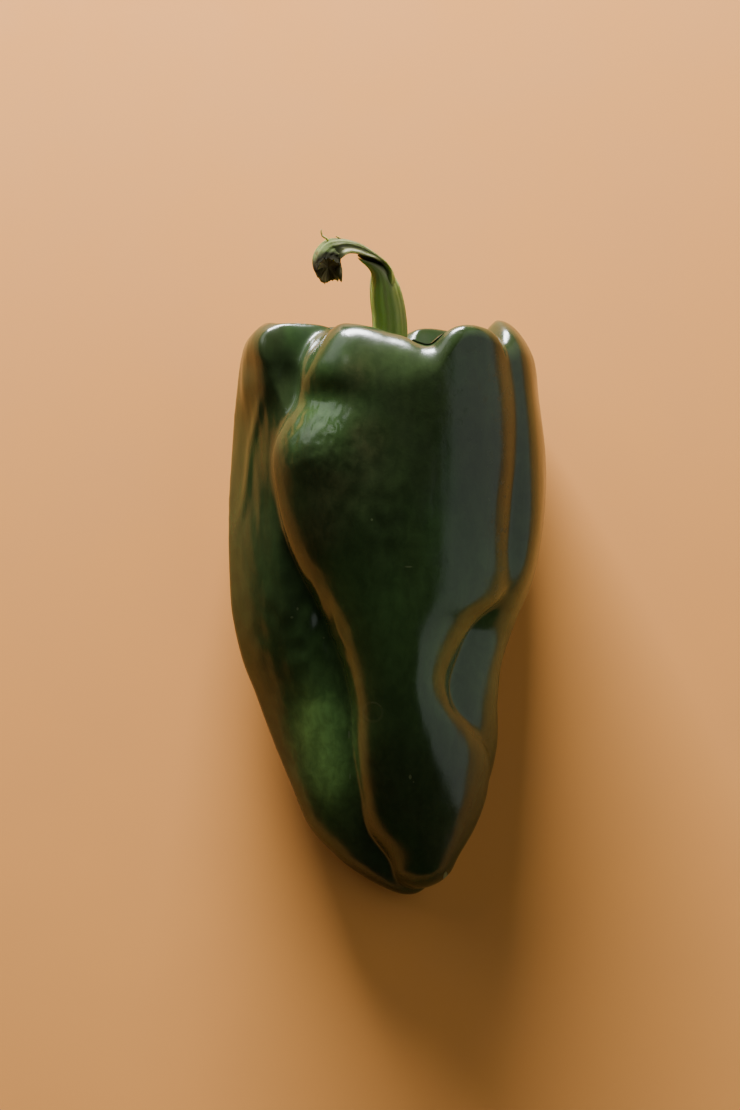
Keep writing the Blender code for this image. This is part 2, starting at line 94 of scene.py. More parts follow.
# Each lobe's edges and ridge seen from above, the heights of its top, its widest line (belt)
# and its foot, and the powers of its upper section across (flatness) and up (flank), 2 being
# an ellipse: (t, value). A lobe begins at the station "start" and is full grown "nose" further.
FRONT = {
    "left": [
        (2.0, 1.0), (8.4, -0.6), (15.0, -4.4), (24.0, -5.9), (32.5, -7.0), (43.0, -7.8),
        (51.6, -9.9), (60.0, -13.3), (68.5, -17.5), (77.0, -21.1), (85.5, -23.4), (96.0, -24.0),
        (106.5, -20.0), (115.0, -18.6), (125.0, -18.0),
    ],
    "right": [
        (2.0, 12.6), (8.4, 15.2), (15.0, 18.9), (24.0, 21.6), (32.5, 21.0), (38.0, 17.4),
        (43.0, 13.6), (47.5, 12.9), (51.6, 14.2), (56.0, 16.3), (60.0, 19.0), (64.3, 23.6),
        (68.5, 25.1), (77.0, 25.5), (85.5, 26.1), (93.5, 27.0), (100.0, 27.0), (106.5, 26.5),
        (115.0, 25.5), (125.0, 25.0),
    ],
    "ridge": [
        (2.0, 8.0), (8.4, 8.0), (15.0, 6.6), (24.0, 6.4), (40.0, 5.2), (60.0, 3.8), (85.0, 2.4),
        (125.0, 2.4),
    ],
    "top": [
        (2.0, 5.0), (8.4, 8.3), (15.0, 11.6), (24.0, 15.4), (32.5, 18.0), (43.0, 20.0),
        (51.6, 21.5), (60.0, 23.0), (68.5, 24.2), (77.0, 25.2), (85.5, 25.8), (96.0, 26.0),
        (106.5, 26.0), (125.0, 26.0),
    ],
    "left_belt": [
        (2.0, -1.0), (8.4, 1.5), (15.0, 5.0), (24.0, 8.5), (32.5, 10.3), (43.0, 11.8), (60.0, 13.3),
        (80.0, 15.5), (125.0, 16.0),
    ],
    "right_belt": [
        (2.0, -0.5), (8.4, 3.0), (15.0, 3.0), (24.0, 4.0), (32.5, 7.5), (38.0, 10.5), (43.0, 12.8),
        (47.5, 13.2), (51.6, 13.2), (56.0, 13.6), (60.0, 14.0), (68.5, 13.5), (80.0, 12.9),
        (93.5, 12.0), (106.0, 13.0), (125.0, 13.4),
    ],
    "foot": [(2.0, -4.5), (15.0, -8.0), (32.5, -8.0), (51.6, -5.0), (68.5, -3.5), (125.0, -3.0)],
    "left_flatness": [(2.0, 2.2), (24.0, 2.5), (60.0, 2.8), (125.0, 2.8)],
    "right_flatness": [
        (2.0, 2.2), (24.0, 2.4), (40.0, 2.2), (60.0, 2.3), (80.0, 2.45), (125.0, 2.45),
    ],
    "left_flank": [(2.0, 1.7), (24.0, 1.4), (60.0, 1.3), (125.0, 1.3)],
    "right_flank": [
        (2.0, 1.6), (24.0, 1.4), (40.0, 1.2), (60.0, 1.3), (68.5, 1.6), (80.0, 1.9), (125.0, 1.9),
    ],
    "start": 1.5,
    "nose": 5.2,
}
LEFT = {
    "left": [
        (0.0, -3.0), (3.7, -6.8), (8.0, -10.6), (14.5, -16.6), (23.1, -20.5), (31.7, -24.0),
        (42.5, -28.2), (51.1, -31.5), (59.8, -33.5), (68.4, -34.3), (85.7, -34.4), (96.4, -33.9),
        (107.2, -33.0), (115.8, -31.8), (120.6, -31.1), (125.0, -29.4),
    ],
    "right": [
        (0.0, 12.0), (8.0, 12.0), (23.1, 12.0), (42.5, 13.0), (59.8, 10.0), (85.7, 2.0),
        (125.0, 0.0),
    ],
    "ridge": [
        (0.0, 2.0), (8.0, -2.0), (23.1, -6.5), (42.5, -12.0), (59.8, -19.5), (70.0, -22.2),
        (78.0, -22.4), (85.7, -21.6), (92.0, -20.7), (98.0, -20.5), (103.5, -21.8), (109.5, -24.6),
        (115.0, -25.8), (125.0, -26.0),
    ],
    "top": [
        (0.0, 2.0), (8.0, 4.0), (23.1, 8.5), (42.5, 11.0), (59.8, 12.0), (76.0, 12.8), (85.7, 13.8),
        (92.0, 14.9), (98.0, 15.3), (103.5, 14.8), (109.5, 13.9), (115.0, 13.6), (125.0, 13.6),
    ],
    "left_belt": [
        (0.0, -2.0), (8.0, -1.5), (23.1, 1.4), (33.0, 0.6), (42.5, 0.3), (52.0, 0.9), (60.0, 1.4),
        (66.0, 1.7), (72.0, 1.8), (78.0, 1.6), (86.0, 0.2), (93.0, -0.8), (102.0, -0.8),
        (108.0, 0.3), (114.0, 0.8), (125.0, 0.8),
    ],
    "right_belt": [
        (0.0, -3.5), (8.0, -4.5), (42.5, -4.0), (60.0, 0.0), (85.0, 2.0), (100.0, 2.0),
        (108.0, 0.0), (125.0, 0.0),
    ],
    "foot": [
        (0.0, -8.0), (8.0, -9.0), (14.0, -10.4), (23.1, -11.0), (42.5, -13.5), (59.8, -16.0),
        (85.7, -21.5), (106.0, -26.8), (125.0, -26.0),
    ],
    "left_flatness": [
        (0.0, 2.0), (8.0, 1.9), (23.0, 1.8), (33.0, 1.7), (42.0, 1.65), (57.0, 1.6), (63.0, 1.45),
        (69.0, 1.3), (74.0, 1.25), (92.0, 1.2), (103.0, 1.2), (109.0, 1.25), (115.0, 1.35),
        (119.0, 1.8), (122.0, 2.2), (125.0, 2.2),
    ],
    "right_flatness": [(0.0, 2.0), (23.0, 2.6), (98.0, 2.8), (125.0, 2.6)],
    "flank": [
        (0.0, 1.9), (10.0, 1.7), (23.0, 1.25), (35.0, 1.08), (42.0, 1.05), (57.0, 1.05),
        (72.0, 1.08), (92.0, 1.08), (103.0, 1.08), (109.0, 1.08), (115.0, 1.15), (119.0, 1.4),
        (122.0, 1.6), (125.0, 1.6),
    ],
    "start": 0.0,
    "nose": 9.0,
}
RIGHT = {
    "left": [(8.0, -2.0), (23.1, -4.0), (42.5, -3.0), (59.8, -1.0), (85.7, 1.0), (125.0, 1.0)],
    "right": [
        (8.0, 12.5), (14.5, 18.0), (23.1, 22.0), (31.7, 24.0), (42.5, 23.8), (51.1, 24.8),
        (59.8, 28.2), (68.4, 31.7), (77.0, 33.5), (85.7, 34.4), (96.4, 34.4), (107.2, 33.3),
        (115.8, 32.3), (118.6, 31.4), (121.9, 30.4), (125.0, 29.6),
    ],
    "ridge": [
        (8.0, 5.0), (23.1, 8.0), (31.7, 9.0), (42.5, 9.5), (50.0, 10.0), (55.0, 12.0), (60.0, 18.0),
        (66.0, 22.0), (85.7, 23.0), (125.0, 23.0),
    ],
    "top": [
        (8.0, 4.0), (23.1, 7.0), (31.7, 10.5), (38.0, 12.6), (44.0, 13.4), (49.0, 12.8),
        (53.0, 11.0), (57.0, 9.5), (61.0, 10.3), (66.0, 13.0), (70.0, 14.5), (77.0, 15.3),
        (85.7, 15.5), (125.0, 15.5),
    ],
    "belt": [
        (8.0, -4.0), (31.7, -3.0), (40.0, 1.5), (52.0, 1.5), (60.0, -4.0), (85.0, -7.5),
        (125.0, -9.0),
    ],
    "foot": [
        (8.0, -7.0), (23.1, -10.0), (42.5, -13.0), (59.8, -15.5), (85.7, -21.0), (106.0, -26.8),
        (125.0, -26.0),
    ],
    "flatness": [
        (0.0, 2.2), (34.0, 2.3), (40.0, 2.2), (54.0, 2.2), (62.0, 2.8), (70.0, 3.2), (125.0, 3.0),
    ],
    "flank": [
        (0.0, 1.9), (34.0, 1.9), (40.0, 1.9), (54.0, 1.9), (62.0, 2.3), (70.0, 2.5), (125.0, 2.2),
    ],
    "start": 8.0,
    "nose": 16.0,
}
BACK = {
    "left": [(10.0, -8.0), (42.5, -15.0), (85.7, -19.0), (125.0, -19.0)],
    "right": [(10.0, 12.0), (42.5, 15.0), (85.7, 19.0), (125.0, 19.0)],
    "ridge": [(10.0, 2.0), (42.5, 0.0), (125.0, 0.0)],
    "top": [(10.0, 2.0), (85.7, 4.0), (125.0, 4.0)],
    "belt": [(10.0, -3.0), (42.5, -6.0), (85.7, -9.0), (125.0, -10.0)],
    "foot": [(10.0, -8.0), (42.5, -14.0), (85.7, -22.0), (106.0, -25.6), (125.0, -25.0)],
    "flatness": [(0.0, 2.0), (125.0, 2.3)],
    "flank": [(0.0, 2.0), (125.0, 2.3)],
    "start": 8.0,
    "nose": 20.0,
}
LOBES = [FRONT, LEFT, RIGHT, BACK]
SIDED_LINES = ("belt", "flatness", "flank")

# How square the lower half of each lobe is in section, 2 being an ellipse: (t, power)
SQUARENESS = [(0.0, 2.0), (40.0, 2.05), (70.0, 2.3), (125.0, 2.35)]

# Height of the shoulder round the stem end, how far its rounding reaches in from the side
# and how far along the pod: (degrees from +x toward +h, value)
SHOULDER = [
    (-180.0, 123.8), (-152.0, 121.0), (-122.0, 125.0), (-92.0, 121.5), (-62.0, 124.6),
    (-30.0, 121.0), (-2.0, 123.8), (12.0, 124.0), (20.0, 123.0), (26.0, 121.2), (30.0, 118.6),
    (33.5, 117.6), (37.0, 119.2), (41.5, 120.4), (46.0, 120.9), (51.0, 121.2), (58.0, 120.8),
    (63.5, 119.2), (68.5, 117.3), (73.0, 117.7), (79.0, 119.0), (90.0, 120.4), (102.0, 121.5),
    (112.0, 122.1), (121.0, 122.1), (127.0, 121.2), (131.0, 120.0), (135.0, 119.0), (140.0, 120.6),
    (146.0, 122.4), (158.0, 123.0), (170.0, 123.6),
]
ROUND_ACROSS = [
    (-180.0, 5.2), (-120.0, 7.0), (-60.0, 7.0), (-10.0, 5.6), (20.0, 4.8), (29.0, 2.8), (35.0, 1.9),
    (43.0, 2.0), (58.0, 2.4), (66.0, 3.6), (74.0, 5.2), (82.0, 6.2), (118.0, 6.6), (130.0, 7.6),
    (140.0, 8.0), (150.0, 7.4), (158.0, 5.2), (172.0, 5.0),
]
ROUND_ALONG = [
    (-180.0, 9.0), (-120.0, 12.0), (-60.0, 12.0), (-10.0, 9.5), (20.0, 7.5), (29.0, 5.0),
    (35.0, 3.6), (43.0, 3.2), (58.0, 3.2), (66.0, 5.5), (74.0, 8.5), (82.0, 12.0), (118.0, 13.0),
    (130.0, 10.8), (140.0, 9.6), (150.0, 9.2), (158.0, 7.8), (172.0, 8.5),
]

# Dents (negative) and swellings of the upper skin: (x, t, spread in x, spread in t, amount)
RELIEF = [
    (-14.5, 106.0, 8.0, 4.0, -1.4),
    (-15.5, 94.5, 6.5, 5.5, 1.1),
    (8.0, 121.0, 3.0, 6.0, -1.0),
    (-22.8, 111.5, 2.8, 5.0, -1.6),
    (-30.3, 112.0, 1.1, 6.0, 0.5),
    (-16.0, 62.0, 3.2, 10.0, -0.3),
]

# Thin raised line down the left flank: (t, x)
FOLD = [(78.0, -32.2), (82.0, -31.5), (89.4, -30.1), (97.7, -29.0), (104.0, -27.4), (109.0, -26.6)]
FOLD_WIDTH = 0.85
FOLD_HEIGHT = 0.30

# Uneven skin: heights in millimetres, the wavelengths of its noise in x, t and h with a shift
# that keeps the patterns apart, and the spots (x, t, spread in x, spread in t) where it lies
SWELL_HEIGHT, SWELL_WAVES = 0.30, (13.0, 24.0, 13.0, 0.0)
LUMP_HEIGHT, LUMP_WAVES = 0.07, (5.0, 8.5, 5.0, 11.0)
PUCKER_DEPTH, PUCKER_WAVES, PUCKERED = 0.45, (1.6, 2.4, 1.6, 5.0), (-14.5, 99.0, 7.5, 7.5)
KNOB_HEIGHT, KNOB_WAVES, KNOBBLY = 0.42, (3.0, 4.2, 3.0, 8.0), (-17.0, 58.0, 9.0, 11.0)
SCUFF_HEIGHT, SCUFF_WAVES, SCUFFED = 0.16, (2.6, 4.0, 2.6, 2.0), (-6.0, 84.0, 9.0, 12.0)
GRAIN_HEIGHT, FLANK_GRAIN_HEIGHT, GRAIN_WAVES = 0.022, 0.085, (1.7, 11.0, 1.7, 21.0)
SKIN_DROP = 0.22

# Soft spots of the skin's colour and of its pitting: (x, t, spread in x, spread in t, amount)
# Painted light: brighter green spots where light falls on the left lobe's hollow, its lower part
# and the top
PAINTED_LIGHT_HOLLOW = [(-12.5, 32.0, 7.0, 15.0, 0.5)]
PAINTED_LIGHT_SPOTS = [
    (-14.8, 38.0, 5.0, 6.5, 1.0), (-12.0, 27.0, 3.2, 4.0, 1.0), (4.0, 112.0, 9.0, 6.0, 0.04),
    (4.0, 66.0, 6.0, 18.0, 0.06),
]
# Painted fill light: a lighter green spot on the upper left
PAINTED_FILL_SPOTS = [(-14.0, 106.0, 5.0, 7.0, 0.4)]
BRUISES = [
    (-6.6, 111.0, 3.4, 3.4, 1.0), (-4.8, 97.0, 3.8, 5.0, 1.0), (-13.0, 79.0, 4.0, 5.0, 1.0),
    (-10.0, 88.0, 6.0, 5.0, 1.0),
]
PITTED = [(17.5, 108.0, 5.5, 11.0, 1.0), (23.0, 84.0, 2.2, 16.0, 1.0)]

# Pale marks of the skin: (x, t, half width, half length, strength), and a ring (x, t, radius)
MARKS = [
    (-3.4, 81.0, 0.35, 0.35, 0.5), (-20.2, 60.7, 0.45, 0.35, 0.5), (4.6, 27.6, 0.4, 0.7, 0.5),
    (-8.2, 35.9, 0.3, 1.2, 0.6), (-8.0, 27.0, 0.25, 1.0, 0.5), (4.1, 71.4, 1.1, 0.25, 0.5),
    (12.4, 4.8, 0.6, 1.7, 0.9), (-19.0, 62.5, 0.3, 0.5, 0.4), (-13.5, 56.4, 0.35, 0.3, 0.4),
]
RING_MARK = (-3.2, 41.2, 2.0)

# Strands of the stem: (x, t, h) along the middle of each with its half width in the plane of
# the bend and its half height
STALK = [
    (0.0, 116.8, 1.2, 4.6, 4.6), (0.0, 118.6, 1.3, 4.0, 4.0), (0.35, 122.0, 4.2, 3.7, 3.8),
    (0.1, 125.3, 6.5, 3.57, 3.6), (-0.34, 127.8, 8.1, 3.45, 3.4), (-0.8, 130.2, 9.6, 3.1, 3.2),
    (-1.35, 132.0, 10.8, 2.45, 2.8), (-2.05, 133.3, 11.7, 1.7, 2.2),
    (-3.14, 134.25, 12.3, 1.0, 1.5), (-4.4, 134.95, 12.8, 0.55, 0.9),
    (-5.45, 135.5, 13.1, 0.3, 0.5), (-6.4, 136.1, 13.4, 0.1, 0.2),
]
ARCH = [
    (0.0, 128.6, 8.8, 1.5, 1.8), (0.35, 131.2, 10.4, 1.25, 2.3), (0.4, 132.8, 11.3, 0.85, 2.4),
    (0.1, 134.05, 12.0, 0.55, 2.4), (-0.8, 135.1, 12.6, 0.48, 2.3), (-1.8, 135.8, 13.1, 0.5, 2.2),
    (-3.1, 136.55, 13.7, 0.62, 2.2), (-4.83, 137.3, 14.3, 0.92, 2.2),
    (-6.5, 137.86, 14.9, 1.13, 2.3), (-8.3, 138.1, 15.3, 1.4, 2.4), (-10.1, 137.8, 15.6, 2.05, 2.6),
    (-11.8, 137.0, 15.9, 2.6, 2.8), (-12.7, 135.2, 16.5, 2.9, 3.0), (-12.5, 133.6, 17.3, 2.85, 3.0),
    (-12.3, 132.6, 18.4, 2.7, 2.9),
]
# Dark strand behind the slit between stalk and arch: painted shade in the slit
SLIT_SHADOW_WALL = [
    (0.5, 131.0, 9.2, 0.5, 0.5), (0.0, 133.3, 10.2, 0.75, 0.5), (-1.4, 134.7, 10.9, 0.8, 0.5),
    (-3.0, 135.5, 11.6, 0.75, 0.5), (-4.8, 136.2, 12.4, 0.6, 0.4), (-6.4, 136.7, 13.2, 0.3, 0.25),
]
SHREDS = [
    [
        (-10.4, 133.6, 17.8, 0.9, 0.5), (-10.0, 131.8, 18.6, 0.55, 0.35),
        (-9.7, 130.3, 18.4, 0.12, 0.12),
    ],
    [
        (-14.3, 133.8, 17.2, 1.0, 0.5), (-14.4, 132.2, 18.2, 0.6, 0.35),
        (-14.1, 131.0, 18.4, 0.12, 0.12),
    ],
    [
        (-9.6, 139.0, 15.8, 0.35, 0.3), (-10.2, 139.7, 16.3, 0.22, 0.2),
        (-10.9, 140.2, 16.5, 0.08, 0.08),
    ],
]
FIBRE = [
    (-11.4, 137.2, 16.2, 0.45, 0.45), (-11.8, 138.0, 16.6, 0.34, 0.34),
    (-12.6, 139.3, 17.3, 0.24, 0.24), (-13.6, 140.0, 17.6, 0.2, 0.2),
    (-13.9, 140.8, 17.6, 0.17, 0.17), (-13.8, 141.5, 17.6, 0.1, 0.1),
]

# Thin strands: stations, rows and columns of the grid, how dry and how dark they are
THIN_STRANDS = [(FIBRE, 50, 12, 0.5, 0.4), (SLIT_SHADOW_WALL, 60, 16, 1.0, 0.9)]
THIN_STRANDS += [(shred, 24, 12, 0.9, 0.75) for shred in SHREDS]

# Room, in metres: floor, lights (name, place, point faced, width, height, radiance, colour),
# and the faint light of the room itself
FLOOR_HALF_WIDTH = 3.0
FLOOR_DROP = 0.00005
FLOOR_COLOURS = [(0.70, 0.275, 0.055), (0.76, 0.300, 0.060)]
LIGHTS = [
    ("back window", (-0.115, 0.75, 0.232), (0.0, 0.0, 0.03), 0.42, 0.19, 120.0, (0.97, 1.0, 1.0)),
    ("left window", (-0.69, 0.62, 0.40), (0.0, 0.0, 0.03), 0.60, 0.46, 2.0, (0.97, 1.0, 1.0)),
    ("upper left window", (-0.50, 0.40, 0.78), (0.0, 0.0, 0.04), 0.12, 0.12, 3.5, (1.0, 1.0, 1.0)),
    ("right panel", (0.845, 0.0, 0.62), (0.0, 0.0, 0.146), 2.2, 1.36, 0.72, (0.90, 0.98, 0.94)),
]
ROOM_COLOUR = (1.0, 0.95, 0.88)
ROOM_STRENGTH = 0.02

# Camera: lens and sensor in millimetres, the point (x, t) on the pod's axis that it looks at,
# and its distance from there and nearest sight in metres
LENS = 70.07
SENSOR_WIDTH = 36.0
CAMERA_AIM = (-3.775, 73.8)
CAMERA_DISTANCE = 0.466
CAMERA_CLIP_START = 0.01

# Texture coordinates with no stretch
EVEN = (1.0, 1.0, 1.0)


def curve_at(points, at):
    """The smooth line through (place, value) points, read at each place in `at`."""
    places = np.array([p[0] for p in points], float)
    values = np.array([p[1] for p in points], float)
    slopes = np.gradient(values, places)
    at = np.clip(at, places[0], places[-1])
    i = np.clip(np.searchsorted(places, at, side="right") - 1, 0, len(places) - 2)
    span = places[i + 1] - places[i]
    f = (at - places[i]) / span
    start = (1.0 + 2.0 * f) * (1.0 - f) ** 2 * values[i] + f * (1.0 - f) ** 2 * span * slopes[i]
    end = f * f * (3.0 - 2.0 * f) * values[i + 1] - f * f * (1.0 - f) * span * slopes[i + 1]
    return start + end


def round_curve_at(points, degrees):
    """curve_at for a list that closes on itself after 360 degrees."""
    before = [(p[0] - 360.0, p[1]) for p in points[-3:]]
    after = [(p[0] + 360.0, p[1]) for p in points[:3]]
    degrees = (degrees + 180.0) % 360.0 - 180.0
    return curve_at(before + points + after, degrees)


def ramp(value, low, high):
    """0 below low, 1 above high and smooth between."""
    f = np.clip((value - low) / (high - low), 0.0, 1.0)
    return f * f * (3.0 - 2.0 * f)


def fall(value, low, high):
    """1 below low, 0 above high and smooth between."""
    return ramp(-value, -high, -low)


def hump(value, peak, spread):
    """1 at the peak, falling softly to 0 on both sides."""
    return np.exp(-(((value - peak) / spread) ** 2))


def spot(x, t, at_x, at_t, wide, long):
    """A soft oval spot, 1 in its middle."""
    return np.exp(-(((x - at_x) / wide) ** 2) - ((t - at_t) / long) ** 2)


def spots(x, t, places):
    """Soft oval spots added up, each with its own amount."""
    return sum(amount * spot(x, t, *place) for *place, amount in places)


def lobes_at(t):
    """Every lobe's lines, powers and presence (0 to 1) at the stations t."""
    found = []
    for lobe in LOBES:
        at = {name: curve_at(line, t) for name, line in lobe.items() if isinstance(line, list)}
        for line in SIDED_LINES:
            for side in ("left", "right"):
                at.setdefault(f"{side}_{line}", at.get(line))

        # Its nose is a quarter round
        grown = np.clip((t - lobe["start"]) / lobe["nose"], 0.0, 1.0)
        size = np.sqrt(np.maximum(1.0 - (1.0 - grown) ** 2, 1e-6))
        mid_x = 0.5 * (at["left"] + at["right"])
        mid_h = 0.5 * (at["top"] + at["foot"])
        for line in ("left", "right", "ridge"):
            at[line] = mid_x + (at[line] - mid_x) * size
        for line in ("top", "foot", "left_belt", "right_belt"):
            at[line] = mid_h + (at[line] - mid_h) * size
        at["present"] = ramp(grown, 0.0, 0.5) if lobe["start"] else np.ones_like(t)
        found.append(at)
    return found


def inside(x, h, lobes, squareness):
    """Negative inside the soft union of the lobes, about in millimetres."""
    total = np.zeros_like(x)
    for at in lobes:
        to_right = x > at["ridge"]
        half_x = np.where(to_right, at["right"] - at["ridge"], at["ridge"] - at["left"])
        belt, flatness, flank = (
            np.where(to_right, at[f"right_{line}"], at[f"left_{line}"]) for line in SIDED_LINES
        )
        upper = h > belt
        half_h = np.where(upper, at["top"] - belt, belt - at["foot"])
        power_x = np.where(upper, flatness, squareness)
        power_h = np.where(upper, flank, squareness)
        from_x = np.abs(x - at["ridge"]) / half_x
        from_h = np.abs(h - belt) / half_h
        reach = (from_x**power_x + from_h**power_h) ** (2.0 / (power_x + power_h))
        outward = (reach - 1.0) * np.minimum(half_x, half_h)
        total += at["present"] * np.exp(-outward / LOBE_BLEND)
    return -LOBE_BLEND * np.log(np.maximum(total, 1e-30))


def middle(t):
    """Middle of the section at station t, as (x, h)."""
    return curve_at(MIDDLE_X, t), curve_at(MIDDLE_H, t)


def section_radius(angle, t):
    """Distance from the middle of the section to the skin, by halving along the ray."""
    mid_x, mid_h = middle(t)
    lobes = lobes_at(t)
    squareness = curve_at(SQUARENESS, t)
    near = np.zeros_like(t)
    far = np.full_like(t, FAR_OUTSIDE)
    for _ in range(HALVINGS):
        half = 0.5 * (near + far)
        x = mid_x + half * np.cos(angle)
        h = mid_h + half * np.sin(angle)
        within = inside(x, h, lobes, squareness) < 0.0
        near = np.where(within, half, near)
        far = np.where(within, far, half)
    return near


def sunk(inward):
    """Share of the recess depth at this share of the way in from its crest."""
    along = inward * inward / (inward + RECESS_LIP) * (1.0 + RECESS_LIP)
    return 1.0 - (1.0 - along) ** 3


def recess_depth_at(radius, angle):
    """Station t of the sunken stem end at this distance from its middle."""
    crest = round_curve_at(SHOULDER, np.degrees(angle))
    rim = section_radius(angle, crest) - round_curve_at(ROUND_ACROSS, np.degrees(angle))
    inward = np.clip(1.0 - radius / rim, 0.0, 1.0)
    return crest - (crest - RECESS_FLOOR) * sunk(inward)


def pod_surface(row, angle):
    """Pod skin (x, t, h) for row 0 at the tip to 1 at the middle of the recess."""
    crest = round_curve_at(SHOULDER, np.degrees(angle))
    round_across = round_curve_at(ROUND_ACROSS, np.degrees(angle))
    round_along = round_curve_at(ROUND_ALONG, np.degrees(angle))

    # Up the side and round the shoulder
    along = np.clip(row / SIDE_END, 0.0, 1.0)
    spaced = np.sqrt(along**2 + TIP_SPACING**2) - TIP_SPACING
    spaced /= math.sqrt(1.0 + TIP_SPACING**2) - TIP_SPACING
    turn = 0.5 * math.pi * np.clip((row - SIDE_END) / (CREST_ROW - SIDE_END), 0.0, 1.0)
    t = (crest - round_along) * spaced + round_along * np.sin(turn)
    radius = section_radius(angle, t) - round_across * (1.0 - np.cos(turn))

    # Down into the recess, and closed at the tip
    inward = np.clip((row - CREST_ROW) / (1.0 - CREST_ROW), 0.0, 1.0)
    radius = np.where(row <= 0.0, 0.0, radius * (1.0 - inward))
    t = t - (crest - RECESS_FLOOR) * sunk(inward)

    mid_x, mid_h = middle(t)
    x = mid_x + radius * np.cos(angle)
    h = mid_h + radius * np.sin(angle)
    upper = ramp(h, -4.0, 4.0) * (inward <= 0.0)
    for *place, amount in RELIEF:
        bump = amount * upper * spot(x, t, *place)
        x = x + bump * np.cos(angle)
        h = h + bump * np.sin(angle)
    return x, t, h


def to_world(x, t, h):
    """From the pod's own frame in millimetres to the table in metres."""
    y = t * math.cos(POD_TILT) - h * math.sin(POD_TILT) - TIP_TO_CENTRE
    z = t * math.sin(POD_TILT) + h * math.cos(POD_TILT) + AXIS_HEIGHT_AT_TIP
    return np.stack([x, y, z], axis=1) * MM


def to_pod(world):
    """From the table in metres to the pod's own frame in millimetres: x, t, h."""
    x = world[:, 0] / MM
    y = world[:, 1] / MM + TIP_TO_CENTRE
    z = world[:, 2] / MM - AXIS_HEIGHT_AT_TIP
    t = y * math.cos(POD_TILT) + z * math.sin(POD_TILT)
    h = z * math.cos(POD_TILT) - y * math.sin(POD_TILT)
    return x, t, h


def vector_to_world(x, t, h):
    """A direction in the pod's own frame, turned to the table's frame."""
    y = t * math.cos(POD_TILT) - h * math.sin(POD_TILT)
    z = t * math.sin(POD_TILT) + h * math.cos(POD_TILT)
    return Vector((x, y, z))


def noise_at(x, t, h, wave_x, wave_t, wave_h, shift):
    """Smooth noise from -1 to 1 with its own wavelength each way, in millimetres."""
    places = np.stack([x / wave_x + shift, t / wave_t + 1.7 * shift, h / wave_h - shift], axis=1)
    return np.array([noise.noise(place) for place in places.tolist()])


def read_vectors(data, name):
    """A mesh's positions or normals, one row a vertex."""
    flat = np.empty(3 * len(data), np.float32)
    data.foreach_get(name, flat)
    return flat.reshape(-1, 3).astype(float)


def set_attribute(mesh, name, values):
    """One number a vertex, which the material reads by this name."""
    layer = mesh.attributes.new(name, "FLOAT", "POINT")
    layer.data.foreach_set("value", values.astype(np.float32))


def closed_grid(rows, columns):
    """Row (0 to 1), angle and faces of a closed grid that runs from pole to pole."""
    rings = np.arange(1, rows) / rows
    turns = 2.0 * math.pi * np.arange(columns) / columns - math.pi
    ring_row, ring_angle = np.meshgrid(rings, turns, indexing="ij")
    row = np.concatenate([[0.0], ring_row.ravel(), [1.0]])
    angle = np.concatenate([[0.0], ring_angle.ravel(), [0.0]])
    here = 1 + np.arange(columns)
    beside = 1 + (np.arange(columns) + 1) % columns
    last = (rows - 2) * columns
    faces = [(0, a, b) for a, b in zip(here.tolist(), beside.tolist())]
    for start in range(0, last, columns):
        ring = zip((here + start).tolist(), (beside + start).tolist())
        faces += [(a, a + columns, b + columns, b) for a, b in ring]
    end = len(row) - 1
    faces += [(a, end, b) for a, b in zip((here + last).tolist(), (beside + last).tolist())]
    return row, angle, faces


def smooth_mesh(name, world, faces):
    mesh = bpy.data.meshes.new(name)
    mesh.from_pydata(world.tolist(), [], faces)
    mesh.shade_smooth()
    return mesh


def grown_mesh(name, rows, columns, place):
    """A closed grid from pole to pole, each vertex placed by the piece's formula."""
    row, angle, faces = closed_grid(rows, columns)
    return smooth_mesh(name, place(row, angle), faces), row, angle


def add_object(name, data):
    made = bpy.data.objects.new(name, data)
    bpy.context.scene.collection.objects.link(made)
    return made


def show(name, mesh, skin, node):
    """Puts a finished mesh in the scene as the piece that stands for a CAD node."""
    mesh.materials.append(skin)
    piece = add_object(name, mesh)
    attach(piece, "root")
    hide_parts(node)


